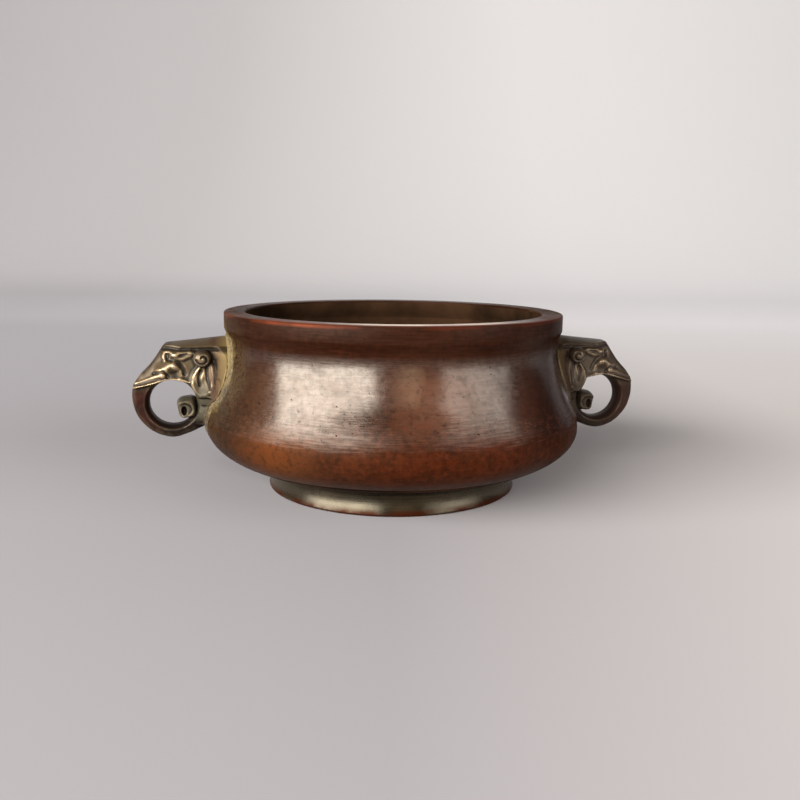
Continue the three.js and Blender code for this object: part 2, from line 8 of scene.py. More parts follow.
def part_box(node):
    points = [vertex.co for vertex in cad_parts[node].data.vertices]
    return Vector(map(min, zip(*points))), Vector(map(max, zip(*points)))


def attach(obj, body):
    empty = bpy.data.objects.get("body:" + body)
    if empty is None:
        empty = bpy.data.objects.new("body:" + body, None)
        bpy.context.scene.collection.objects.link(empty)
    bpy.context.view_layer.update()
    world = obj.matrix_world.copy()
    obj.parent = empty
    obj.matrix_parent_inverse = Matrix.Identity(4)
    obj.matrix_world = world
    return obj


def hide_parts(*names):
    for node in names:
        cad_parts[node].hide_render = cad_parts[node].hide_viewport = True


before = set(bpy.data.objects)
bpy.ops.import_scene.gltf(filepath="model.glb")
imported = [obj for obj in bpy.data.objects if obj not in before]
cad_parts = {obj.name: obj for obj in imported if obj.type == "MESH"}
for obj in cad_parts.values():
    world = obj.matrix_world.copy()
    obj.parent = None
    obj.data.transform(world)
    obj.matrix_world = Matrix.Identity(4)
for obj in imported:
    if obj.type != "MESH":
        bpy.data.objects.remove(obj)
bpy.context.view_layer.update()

# The vessel's sizes, in metres. Its height and its widths come from the frame.
bowl_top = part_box("bowl")[1]
foot_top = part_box("foot_ring")[1]
HEIGHT = bowl_top.z
BELLY_RADIUS = bowl_top.y
FOOT_HEIGHT = foot_top.z
FOOT_RADIUS = foot_top.y
RIM_RADIUS = BELLY_RADIUS - 0.0056
BELLY_HEIGHT = 0.0193
WAIST_HEIGHT = 0.0436
WAIST_RADIUS = RIM_RADIUS - 0.001
LIP_WIDTH = 0.006
LIP_HEIGHT = 0.0042
LIP_ROUND = 0.0005
WALL = 0.0036
INNER_WALL_TOP = HEIGHT - LIP_HEIGHT - 0.001
FLOOR_SLOPE_WIDTH = 0.004
FLOOR_SLOPE_HEIGHT = 0.0012
SEAT_RADIUS = FOOT_RADIUS - 0.0028
BASE_RADIUS = SEAT_RADIUS - 0.0032
BASE_HEIGHT = FOOT_HEIGHT - 0.0012
CENTRE_RADIUS = 0.004  # within it, the base and the floor are each one flat face
FOOT_WIDTH = 0.0046
FOOT_TAPER = 0.0008
FOOT_EDGE = 0.0006
TURNS = 384
MM = 0.001

# Wear of the turned forms, inwards only: the size, waves round, turn for each metre up, and start of a wave
WAVES = [(1, 3, 60, 0), (0.6, 7, -210, 1), (0.35, 13, 330, 2)]
BOWL_WEAR = 0.00004
FOOT_WEAR = 0.00002
TRUE_RADIUS = 0.03  # up to it, the forms stay true

# The camera, fitted to the photograph
CAMERA_AZIMUTH = math.radians(-9.5)
CAMERA_PLACE = Matrix.Rotation(CAMERA_AZIMUTH, 3, "Z") @ Vector((0, -0.2524, 0.0714))
CAMERA_PITCH = math.radians(10.46)
CAMERA_ROLL = math.radians(0.707)
CAMERA_LENS = 38.25
CAMERA_SENSOR = 36
CAMERA_SHIFT = 0.0098


# Curves and meshes


def bezier(start, first, second, end, steps):
    """Points along a cubic curve, without its start."""
    t = np.linspace(0, 1, steps + 1)[1:, None]
    a, b, c, d = (np.array(p, float) for p in (start, first, second, end))
    return (1 - t) ** 3 * a + 3 * t * (1 - t) ** 2 * b + 3 * t**2 * (1 - t) * c + t**3 * d


def smooth_through(points, steps=6):
    """A smooth curve through the points, end to end."""
    p = np.array(points, float)
    p = np.vstack([2 * p[0] - p[1], p, 2 * p[-1] - p[-2]])
    t = np.linspace(0, 1, steps, endpoint=False)[:, None]
    runs = [
        0.5 * (2 * b + (c - a) * t + (2 * a - 5 * b + 4 * c - d) * t**2 + (3 * b - a - 3 * c + d) * t**3)
        for a, b, c, d in zip(p[:-3], p[1:-2], p[2:-1], p[3:])
    ]
    return np.vstack([*runs, p[-2:-1]])


def outer_curve(steps=40):
    """The vessel's outer curve as (radius, height), from its seat on the foot to the lip."""
    seat = (SEAT_RADIUS, FOOT_HEIGHT)
    belly = (BELLY_RADIUS, BELLY_HEIGHT)
    waist = (WAIST_RADIUS, WAIST_HEIGHT)
    lip = (RIM_RADIUS, HEIGHT - LIP_HEIGHT)
    rise, climb, neck = belly[1] - seat[1], waist[1] - belly[1], lip[1] - waist[1]
    under = (seat[0] + 0.51 * (belly[0] - seat[0]), seat[1] + 0.05 * rise)
    return np.vstack([
        [seat],
        bezier(seat, under, (belly[0], belly[1] - 0.58 * rise), belly, steps),
        bezier(belly, (belly[0], belly[1] + 0.28 * climb), (waist[0], waist[1] - 0.5 * climb), waist, steps),
        bezier(waist, (waist[0], waist[1] + 0.6 * neck), (lip[0], lip[1] - 0.3 * neck), lip, steps // 3),
    ])


def corner(centre, radius, start, end, steps=6):
    """A rounded corner as (radius, height) points, with angles in degrees."""
    angles = np.radians(np.linspace(start, end, steps))
    return np.stack([centre[0] + radius * np.cos(angles), centre[1] + radius * np.sin(angles)], 1)


def moved(points, distance):
    """The curve moved sideways, outwards if the distance is positive."""
    along = np.gradient(points, axis=0)
    along /= np.linalg.norm(along, axis=1)[:, None]
    return points + distance * np.stack([along[:, 1], -along[:, 0]], 1)


def piece_of(name, verts, faces):
    """A new smooth piece."""
    mesh = bpy.data.meshes.new(name)
    mesh.from_pydata(verts.tolist(), [], faces)
    mesh.shade_smooth()
    piece = bpy.data.objects.new(name, mesh)
    bpy.context.scene.collection.objects.link(piece)
    return piece


def turned(name, profile, wear, closed=False):
    """A mesh made by turning a profile about the vertical axis, a little out of true."""
    angles = np.linspace(0, 2 * math.pi, TURNS, endpoint=False)
    radius, height = profile[:, :1], profile[:, 1:]
    sway = sum(
        size * (np.sin(count * angles + rise * height + start) - 1) for size, count, rise, start in WAVES
    )
    radius = radius + wear * sway * (radius > TRUE_RADIUS)
    verts = np.stack([radius * np.cos(angles), radius * np.sin(angles), np.repeat(height, TURNS, 1)], 2)
    rows = len(profile)
    faces = []
    for row in range(rows if closed else rows - 1):
        this, above = row * TURNS, (row + 1) % rows * TURNS
        faces += [
            (this + k, this + (k + 1) % TURNS, above + (k + 1) % TURNS, above + k) for k in range(TURNS)
        ]
    if not closed:
        faces.append(tuple(reversed(range(TURNS))))
        faces.append(tuple((rows - 1) * TURNS + k for k in range(TURNS)))
    return piece_of(name, verts.reshape(-1, 3), faces)


def bowl():
    """The cast bowl: outer curve, lip, inner wall and floor, in one skin."""
    side = outer_curve()
    inner = moved(side, -WALL)
    floor = FOOT_HEIGHT + WALL
    inside = inner[(inner[:, 1] > floor + FLOOR_SLOPE_HEIGHT) & (inner[:, 1] < INNER_WALL_TOP)][::-1]
    mouth = RIM_RADIUS - LIP_WIDTH
    profile = np.vstack([
        [[CENTRE_RADIUS, BASE_HEIGHT], [BASE_RADIUS, BASE_HEIGHT]],
        side,
        corner((RIM_RADIUS - LIP_ROUND, HEIGHT - LIP_ROUND), LIP_ROUND, 0, 90),
        corner((mouth + LIP_ROUND, HEIGHT - LIP_ROUND), LIP_ROUND, 90, 180),
        [[mouth, HEIGHT - LIP_HEIGHT]],
        inside,
        [[inside[-1, 0] - FLOOR_SLOPE_WIDTH, floor], [CENTRE_RADIUS, floor]],
    ])
    return turned("bowl_shell", profile, BOWL_WEAR)


def foot():
    """The foot ring, waisted a little, with soft edges."""
    top = FOOT_RADIUS - FOOT_TAPER
    inner = FOOT_RADIUS - FOOT_WIDTH - FOOT_TAPER
    flare = bezier(
        (FOOT_RADIUS, FOOT_EDGE), (FOOT_RADIUS - 0.0009, 0.0028),
        (top - 0.0003, 0.0045), (top, FOOT_HEIGHT), 16,
    )
    profile = np.vstack([
        corner((inner + FOOT_EDGE, FOOT_EDGE), FOOT_EDGE, 180, 270),
        corner((FOOT_RADIUS - FOOT_EDGE, FOOT_EDGE), FOOT_EDGE, 270, 360),
        flare,
        [[inner, FOOT_HEIGHT]],
    ])
    return turned("foot_ring_shell", profile, FOOT_WEAR, closed=True)


# Handle, sculpted as a field that is negative inside the metal. Millimetres: x is the reach from the
# vessel's axis, y is across and z is the height.
HEAD_HALF = 6.2
HEAD_BEVEL = 5
FOREHEAD_HALF = 3.6
TRUNK_HALF = 3.3
TRUNK_THINNING = 0.9  # how much slimmer the trunk is at the loop's edge
TIP_HALF = 4.1
WALL_GAP = 0.25
LOOP_CENTRE = (64.2, 25.6)
LOOP_HALF = (6.6, 6.5)
TIP_CENTRE = (60.1, 24.1)
TIP_FLAT = (1.1, 1.3)
TIP_ROUND = 1.75
TIP_TILT = math.radians(-9)
NOSTRIL = (60.9, 23.5)
NOSTRIL_HALF = (0.9, 1.4)
NOSTRIL_DEPTH = 1.5
EYE = (62.6, 39.85)
EYE_HALF = (1.4, 0.6)
EYE_RISE = 0.5
EAR_RISE = 1.0
CURL = (55.3, 38.9)
CURL_RADIUS = 2.5
CURL_RISE = 0.5
SPIRAL_PITCH = 0.27
SPIRAL_WIDTH = 0.42
SPIRAL_DEPTH = 0.5
HAMMERING = 0.03
SIDE_LEAN = 0.85  # what a millimetre sideways counts for, because the sides lean
OUTLINE = [
    (40.0, 48.6), (63.0, 48.6), (66.3, 42.4), (69.9, 37.1), (73.4, 33.3), (75.2, 30.0), (75.2, 25.4),
    (73.5, 20.9), (69.6, 17.1), (64.6, 15.5), (60.2, 16.5), (55.5, 18.6), (50.0, 21.0), (40.0, 24.0),
]
# The head's lower edge and its crest, and how high the crest's sides are
JAW = [(50, 28.2), (57.2, 27.4), (58.8, 31.6), (64.5, 32.7), (75, 29.8)]
CREST = [(49, 44.6), (67, 42.6)]
CREST_SIDE = 42.2
EAR = [
    (54.3, 40.6), (52.5, 38.0), (51.9, 35.2), (52.3, 31.4), (53.6, 28.5), (55.8, 27.6), (57.6, 28.8),
    (58.7, 31.4), (58.5, 33.6), (57.5, 35.6), (56.6, 37.6), (56.7, 40.4),
]
# Half the width of the handle's spread root on the wall, by height, and how far off the wall it spreads
ROOT_HALF = [
    (17.5, 0), (19.5, 4.2), (25, 5.6), (28, 11.4), (31.5, 12.4), (36.5, 11), (41, 8.6), (45, 7.4), (47, 2),
]
ROOT_DEPTH = 4.6
# Chased lines on the side of the head: how far each stands out, how wide it is, and its points
CHASING = [
    (-0.5, 0.6, [(66.2, 41.5), (60.0, 41.3), (51.0, 41.5)]),
    (0.5, 0.6, [(65.0, 40.8), (61.8, 40.5), (58.8, 40.8)]),
    (0.4, 0.6, [(65.9, 40.4), (66.2, 39.4), (65.9, 38.5)]),
    (-0.4, 0.5, [(65.0, 39.6), (64.9, 38.5), (63.9, 38.1)]),
    (0.45, 0.6, [(63.8, 39.8), (62.2, 39.1), (60.8, 38.9), (59.0, 39.6), (57.8, 40.3)]),
    (-0.4, 0.6, [(63.6, 38.5), (62.0, 37.5), (60.8, 36.0), (60.3, 34.6)]),
    (1.0, 1.5, [(66.9, 35.5), (65.2, 36.5), (63.4, 37.0)]),
    (0.35, 0.8, [(63.0, 36.6), (61.8, 35.6), (61.5, 34.0)]),
    (0.4, 0.5, [(74.6, 30.2), (71.8, 30.8), (68.9, 31.8), (65.0, 32.7), (61.5, 32.7), (59.4, 32.0)]),
    (0.45, 0.5, [(56.2, 36.4), (57.8, 34.6), (58.6, 32.8), (58.4, 31.0), (57.5, 29.0), (56.1, 27.8)]),
    (0.35, 0.5, [(52.4, 38.0), (52.0, 35.4), (52.4, 32.0), (53.3, 29.4)]),
    (-0.45, 0.45, [(54.2, 36.0), (54.0, 33.4), (53.3, 30.4)]),
    (-0.4, 0.5, [(55.8, 35.2), (56.4, 33.4), (56.2, 31.4)]),
    (0.5, 0.5, [(51.1, 32.6), (51.0, 30.2), (50.2, 28.9), (48.8, 28.6)]),
]
MOUTH = [(68.8, 34.5), (66.0, 35.1), (65.0, 33.6)]
MOUTH_DEPTH = 0.4
MOUTH_WIDTH = 0.7
TUSK = ((66.4, 5.7, 34.0), (74.0, 3.3, 31.4))
TUSK_RADII = (1.0, 0.4)
SCROLL = (0.45, 0.5, [(62.4, 25.6), (60.6, 26.2), (58.8, 25.4), (58.2, 23.6), (59.3, 22.0), (61.2, 21.5)])

# Braze: its thickness on the wall and in the corner, and how far out and up it goes
BRAZE_THICK = 0.20
BRAZE_CORNER = 0.34
BRAZE_FADE = 1.6
BRAZE_LUMPS = 0.09
BRAZE_REACH = 4.6
BRAZE_RAGGED = 0.7
BRAZE_EDGE = 2.4
BRAZE_TOP = 46.2
BRAZE_TOP_EDGE = 1.4
BRAZE_END = -0.7  # where it ends, it lies this far under the wall's skin, so that the two don't flicker
BRAZE_BACK = -0.5
BRAZE_GAP = 0.1

# The lowest and highest corners, and the step, of the grids on which the fields are cut
HANDLE_GRID = ((44, -13.2, 14.6), (76, 13.2, 46.2), 0.22)
BRAZE_GRID = ((38, -18.3, 13), (58, 18.3, 47), 0.3)


def smooth_max(a, b, soft):
    """The larger of two fields, rounded where they meet."""
    near = np.maximum(soft - np.abs(a - b), 0) / soft
    return np.maximum(a, b) + near**2 * soft / 4


def smooth_min(a, b, soft):
    return -smooth_max(-a, -b, soft)


def eased(value, low, high):
    """0 at low, 1 at high, with a soft start and end."""
    t = np.clip((value - low) / (high - low), 0, 1)
    return t * t * (3 - 2 * t)


def mound(distance):
    """1 in the middle, falling in a curve to 0 at a distance of 1."""
    return np.clip(1 - distance**2, 0, 1)


def between(value, points):
    """What a line through the points has at a value."""
    return np.interp(value, *zip(*points))


def ellipse(x, z, centre, half):
    """Distance from an ellipse's centre, which is 1 on the ellipse."""
    return np.hypot((x - centre[0]) / half[0], (z - centre[1]) / half[1])


def line_distance(x, z, points):
    """Distance to a run of straight pieces."""
    near = np.inf
    for (x0, z0), (x1, z1) in zip(points[:-1], points[1:]):
        dx, dz = x1 - x0, z1 - z0
        if dx == dz == 0:
            continue
        t = np.clip(((x - x0) * dx + (z - z0) * dz) / (dx * dx + dz * dz), 0, 1)
        near = np.minimum(near, np.hypot(x - x0 - t * dx, z - z0 - t * dz))
    return near


def outline_distance(x, z, points):
    """Distance to a closed outline, negative inside it."""
    inside = False
    for (x0, z0), (x1, z1) in zip(points, np.roll(points, -1, 0)):
        if z0 != z1:
            inside = inside ^ (((z0 > z) != (z1 > z)) & (x < x0 + (z - z0) * (x1 - x0) / (z1 - z0)))
    near = line_distance(x, z, np.vstack([points, points[:1]]))
    return np.where(inside, -near, near)


def stroke(x, z, height, width, points):
    """One chased line, raised or sunk, with a rounded section."""
    return height * mound(line_distance(x, z, smooth_through(points, 4)) / (1.6 * width)) ** 2


def bar_distance(x, y, z, ends, radii):
    """Distance to a round bar whose radius runs from one value to another."""
    (a, b), (first, last) = np.array(ends), radii
    along = b - a
    t = sum((p - q) * s for p, q, s in zip((x, y, z), a, along)) / (along @ along)
    t = np.clip(t, 0, 1)
    away = np.sqrt(sum((p - q - t * s) ** 2 for p, q, s in zip((x, y, z), a, along)))
    return away - first - (last - first) * t


SIDE_CURVE = outer_curve() / MM
SIDE_SLOPE = 1 / np.hypot(1, np.gradient(SIDE_CURVE[:, 0]) / np.gradient(SIDE_CURVE[:, 1]))
OUTLINE_CURVE = smooth_through(OUTLINE)
EAR_CURVE = smooth_through(EAR, 4)


def wall_distance(x, y, z):
    """Distance outwards from the vessel's wall."""
    reach = np.interp(z, SIDE_CURVE[:, 1], SIDE_CURVE[:, 0])
    return (np.hypot(x, y) - reach) * np.interp(z, SIDE_CURVE[:, 1], SIDE_SLOPE)


def tip_distance(x, z):
    """Distance to the trunk's tip, a tilted square with round corners."""
    x, z = x - TIP_CENTRE[0], z - TIP_CENTRE[1]
    u = np.abs(x * math.cos(TIP_TILT) + z * math.sin(TIP_TILT)) - TIP_FLAT[0]
    v = np.abs(z * math.cos(TIP_TILT) - x * math.sin(TIP_TILT)) - TIP_FLAT[1]
    return np.hypot(np.maximum(u, 0), np.maximum(v, 0)) + np.minimum(np.maximum(u, v), 0) - TIP_ROUND


def half_width(x, y, z, outer, hole, tip, in_head):
    """Half the width: the head narrows to the forehead, the trunk is slimmer, both spread on the wall."""
    spread = np.clip(1.15 - wall_distance(x, y, z) / ROOT_DEPTH, 0, 1) ** 2.2
    root = between(z, ROOT_HALF)
    head = FOREHEAD_HALF + (HEAD_HALF - FOREHEAD_HALF) * eased(-outer, 0, HEAD_BEVEL)
    head = head + np.maximum(root - head, 0) * spread
    trunk = np.minimum(TRUNK_HALF, TRUNK_HALF - TRUNK_THINNING + 0.75 * np.maximum(-hole, 0))
    trunk = trunk + np.maximum(root - trunk, 0) * spread
    trunk = trunk + np.maximum(TIP_HALF - trunk, 0) * (1 - eased(tip, -0.9, 0.1)) * eased(x, 56, 58)
    return trunk + (head - trunk) * in_head


def side_relief(x, z, in_head):
    """How far the carving stands out: the head's lines, ear, eye and mouth, and the trunk's tip."""
    head = sum(stroke(x, z, *line) for line in CHASING)
    head = head + EAR_RISE * eased(-outline_distance(x, z, EAR_CURVE), -0.1, 0.9)
    head = head + EYE_RISE * mound(ellipse(x, z, EYE, EYE_HALF))
    head = head - MOUTH_DEPTH * mound(line_distance(x, z, MOUTH) / MOUTH_WIDTH)
    scroll = stroke(x, z, *SCROLL) * eased(x, 56.5, 57.5)
    trunk = scroll - NOSTRIL_DEPTH * mound(ellipse(x, z, NOSTRIL, NOSTRIL_HALF))
    return head * in_head + trunk * (1 - in_head)


def handle_field(x, y, z):
    """Elephant's head with its trunk curled back into a finger loop."""
    across = np.abs(y)
    outer = outline_distance(x, z, OUTLINE_CURVE)
    hole = (1 - ellipse(x, z, LOOP_CENTRE, LOOP_HALF)) * min(LOOP_HALF)
    tip = tip_distance(x, z)
    in_head = eased(z - between(x, JAW), -0.25, 0.35)
    face = half_width(x, y, z, outer, hole, tip, in_head)
    waves = np.sin(1.9 * x + 0.6 * z) * np.sin(1.3 * z - 0.5 * x) + 0.5 * np.sin(3.1 * x) * np.sin(2.7 * z)
    hammered = HAMMERING * waves
    side = SIDE_LEAN * (across - face - side_relief(x, z, in_head) - hammered)
    crest = between(x, CREST)
    top = z - crest + (crest - CREST_SIDE) * (across / HEAD_HALF) ** 2 + 0.25 * hammered
    plan = smooth_min(np.maximum(outer, hole), tip, 0.5)
    body = smooth_max(smooth_max(plan, side, 1.5), top, 0.7)

    # Curled top of the ear, with a spiral cut into it
    cx, cy, cz = x - CURL[0], across - HEAD_HALF - CURL_RISE, z - CURL[1]
    ball = np.sqrt(cx**2 + cy**2 + cz**2) - CURL_RADIUS
    turn = np.hypot(cx + 0.2, cz) - SPIRAL_PITCH * (np.arctan2(cz, cx) % (2 * math.pi)) - 0.15
    ball = ball + SPIRAL_DEPTH * mound(turn / SPIRAL_WIDTH) * (cy > 0)
    body = smooth_min(body, ball, 0.35)

    body = smooth_min(body, bar_distance(x, across, z, TUSK, TUSK_RADII), 0.2)
    return np.maximum(body, WALL_GAP - wall_distance(x, y, z))


def lumps(x, y, z):
    """Low, rounded unevenness between about -1 and 1."""
    return (
        np.sin(1.3 * y + 0.7 * z + 0.4) * np.sin(1.1 * z - 0.6 * y)
        + 0.7 * np.sin(2.9 * y - 1.3 * z + 1) * np.sin(2.3 * z + 1.9 * x)
        + 0.5 * np.sin(5.3 * y + 2.1 * x) * np.sin(4.7 * z - 3.1 * y + 2)
    )


def braze_field(x, y, z):
    """Filler metal in the corner between the wall and the handle's root, thinning out on the wall."""
    away = SIDE_LEAN * (np.abs(y) - between(z, ROOT_HALF))
    off = wall_distance(x, y, z)
    thick = BRAZE_THICK + BRAZE_CORNER * np.exp(-np.maximum(away + 0.2, 0) / BRAZE_FADE)
    thick = thick + BRAZE_LUMPS * lumps(x, y, z)
    reach = BRAZE_REACH + BRAZE_RAGGED * lumps(1.7 * z, 0.6 * z, 0.8 * y)
    share = eased(reach - away, 0, BRAZE_EDGE) * eased(BRAZE_TOP - z, 0, BRAZE_TOP_EDGE)
    thick = thick * share + BRAZE_END * (1 - share)
    band = smooth_max(off - thick, BRAZE_BACK - off, 0.1)
    return np.maximum(band, BRAZE_GAP - handle_field(x, y, z))


def skin(field, low, high, step):
    """The zero surface of a field, as points and faces, by surface nets."""
    axes = [np.arange(a, b + step, step) for a, b in zip(low, high)]
    values = field(axes[0][:, None, None], axes[1][None, :, None], axes[2][None, None, :])
    shape = np.array(values.shape) - 1

    def part(offset):
        return values[tuple(slice(o, o + n) for o, n in zip(offset, shape))]

    # A point for each cell that the surface crosses, amid its crossings of the cell's edges
    total, count = np.zeros((*shape, 3)), np.zeros(shape)
    for axis in range(3):
        for first in (0, 1):
            for second in (0, 1):
                start = np.insert([first, second], axis, 0)
                end = np.insert([first, second], axis, 1)
                a, b = part(start), part(end)
                crosses = (a < 0) != (b < 0)
                where = np.where(crosses, a / np.where(crosses, a - b, 1), 0)
                for k in range(3):
                    total[..., k] += np.where(crosses, where if k == axis else start[k], 0)
                count += crosses
    used = count > 0
    index = np.full(shape, -1)
    index[used] = np.arange(used.sum())
    points = np.argwhere(used) + total[used] / count[used][:, None]
    points = np.array(low) + points * step

    # A face round each grid edge that the surface crosses
    faces = []
    for axis in range(3):
        one, two = (axis + 1) % 3, (axis + 2) % 3
        ahead = np.take(values, range(1, values.shape[axis]), axis)
        here = np.take(values, range(values.shape[axis] - 1), axis)
        cells = np.argwhere((here < 0) != (ahead < 0))
        cells = cells[(cells[:, one] > 0) & (cells[:, two] > 0)]
        cells = cells[(cells[:, one] < shape[one]) & (cells[:, two] < shape[two])]
        flip = here[tuple(cells.T)] < 0
        ring = []
        for back_one, back_two in ((1, 1), (0, 1), (0, 0), (1, 0)):
            at = cells.copy()
            at[:, one] -= back_one
            at[:, two] -= back_two
            ring.append(index[tuple(at.T)])
        ring = np.stack(ring, 1)
        faces.append(np.where(flip[:, None], ring, ring[:, ::-1]))
    for _ in range(2):
        points = settled(field, points)
    return points, np.vstack(faces)


def settled(field, points, reach=0.02):
    """The points moved onto the field's zero surface."""
    x, y, z = points.T
    value = field(x, y, z)
    slope = np.stack([
        field(x + reach, y, z) - value, field(x, y + reach, z) - value, field(x, y, z + reach) - value
    ], 1) / reach
    step = value / np.maximum((slope**2).sum(1), 0.25)
    return points - np.clip(step, -0.1, 0.1)[:, None] * slope


def worn(points, faces, rounds=14):
    """How far each point stands out from its surroundings, in millimetres."""
    pairs = np.vstack([faces[:, [k, (k + 1) % 4]] for k in range(4)])
    count = np.maximum(np.bincount(pairs.ravel(), minlength=len(points)), 1)
    smooth = points.copy()
    for _ in range(rounds):
        total = np.stack([
            np.bincount(pairs[:, 0], smooth[pairs[:, 1], k], len(points))
            + np.bincount(pairs[:, 1], smooth[pairs[:, 0], k], len(points))
            for k in range(3)
        ], 1)
        smooth = total / count[:, None]
    first = points[faces[:, 2]] - points[faces[:, 0]]
    second = points[faces[:, 3]] - points[faces[:, 1]]
    across = np.cross(first, second)
    normal = np.stack([
        sum(np.bincount(faces[:, c], across[:, k], len(points)) for c in range(4)) for k in range(3)
    ], 1)
    normal /= np.maximum(np.linalg.norm(normal, axis=1), 1e-9)[:, None]
    return ((points - smooth) * normal).sum(1)


def dress(piece, material, slot, *nodes):
    """Gives a new piece its material and body, and hides the CAD nodes that it stands for; the slot is not
    used.
    """
    piece.data.materials.append(material)
    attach(piece, "root")
    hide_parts(*nodes)


def sculpted(name, field, grid, material, slot):
    """Both copies of a sculpted piece: the right one, and the left one turned about the axis."""
    points, faces = skin(field, *grid)
    wear = worn(points, faces)
    for side, turn in (("right", 1), ("left", -1)):
        piece = piece_of(f"{side}_{name}_form", points * MM * (turn, turn, 1), faces.tolist())
        piece.data.attributes.new("wear", "FLOAT", "POINT").data.foreach_set("value", wear.astype(np.float32))
        dress(piece, material, slot, f"{side}_{name}")


# Materials, with colours in linear light
PATINA_DARK = (0.016, 0.0046, 0.0019)
PATINA_RED = (0.041, 0.0100, 0.0035)
BELLY_RED = (0.052, 0.0095, 0.0025)
LEFT_BROWN = (0.040, 0.0180, 0.0082)
# Painted light: the bowl's lower left, lighter and oranger where the left window's light falls
LEFT_LIT_ORANGE = (0.080, 0.0230, 0.0055)
ROOT_BROWN = (0.013, 0.0076, 0.0042)
# Painted sheen: a lighter tan on the centre of the bowl's front
MIDDLE_SHEEN = (0.070, 0.0270, 0.0145)
# Painted shade: the bowl's neck under the lip, darkened
NECK_SHADE = (0.0125, 0.0032, 0.0012)
# Painted shade: the bowl's right side darker, and its lower far right near black
RIGHT_SHADE = (0.021, 0.0066, 0.0032)
FAR_RIGHT_SHADE = (0.008, 0.0013, 0.0004)
BRUSHED = (0.060, 0.0240, 0.0120)
LIGHT_GRAIN = (0.085, 0.0200, 0.0070)
DARK_GRAIN = (0.010, 0.0040, 0.0022)
# Painted shade: the bowl's underside darker, more so on the right
UNDER_SHADE = (0.022, 0.0098, 0.0050)
PIT = (0.010, 0.006, 0.004)
LIP_BROWN = (0.042, 0.024, 0.018)
LIP_BARE = (0.85, 0.66, 0.53)
LIP_OUTER = (0.060, 0.0210, 0.0120)
EDGE_RED = (0.070, 0.0110, 0.0050)
EDGE_ORANGE = (0.095, 0.0200, 0.0070)
SOOT_DARK = (0.015, 0.0082, 0.0046)
SOOT_BROWN = (0.038, 0.0190, 0.0100)
RESIDUE_THIN = (0.046, 0.029, 0.012)
RESIDUE_THICK = (0.162, 0.118, 0.047)
FOOT_DARK = (0.006, 0.0043, 0.0023)
FOOT_OLIVE = (0.019, 0.0138, 0.0078)
FOOT_BRUSHED = (0.036, 0.028, 0.018)
FOOT_RED = (0.026, 0.0062, 0.0024)
FOOT_JOINT = (0.004, 0.003, 0.002)
BRONZE_DARK = (0.0030, 0.0019, 0.0016)
BRONZE_BROWN = (0.0085, 0.0052, 0.0043)
BEND_RED = (0.060, 0.017, 0.012)
TIP_OLIVE = (0.075, 0.067, 0.046)
HEAD_BRONZE = (0.066, 0.042, 0.019)
PLATE_BROWN = (0.062, 0.034, 0.022)
CURL_BROWN = (0.022, 0.0110, 0.0065)
# Painted shade: a dark band under the handle's crest
CREST_SHADE = (0.014, 0.0095, 0.0060)
FOREHEAD_BROWN = (0.022, 0.0150, 0.0100)
# Worn bronze on what stands out on the handles, with painted highlights
RUBBED_HIGHLIGHT = (0.44, 0.335, 0.205)
HOLLOW = (0.007, 0.0045, 0.0028)
# Painted shade: the right handle darker and browner
RIGHT_HANDLE_SHADE = (0.022, 0.0125, 0.0095)
BRAZE_DARK = (0.020, 0.0120, 0.0060)
BRAZE_BROWN = (0.042, 0.025, 0.012)
BRAZE_GREEN = (0.095, 0.090, 0.036)
BRAZE_SPECK = (0.034, 0.022, 0.010)
RIVET_DARK = (0.035, 0.020, 0.013)
RIVET_RED = (0.11, 0.055, 0.03)
# Painted light on the stage: the floor and backdrop lighter to the right, and a painted emission colour
FLOOR_LEFT = (0.368, 0.356, 0.384)
FLOOR_RIGHT_LIT = (0.70, 0.67, 0.67)
BACKDROP_LEFT = (0.72, 0.69, 0.70)
BACKDROP_RIGHT_LIT = (0.88, 0.86, 0.83)
PAINTED_GLOW = (0.97, 0.95, 1.0)


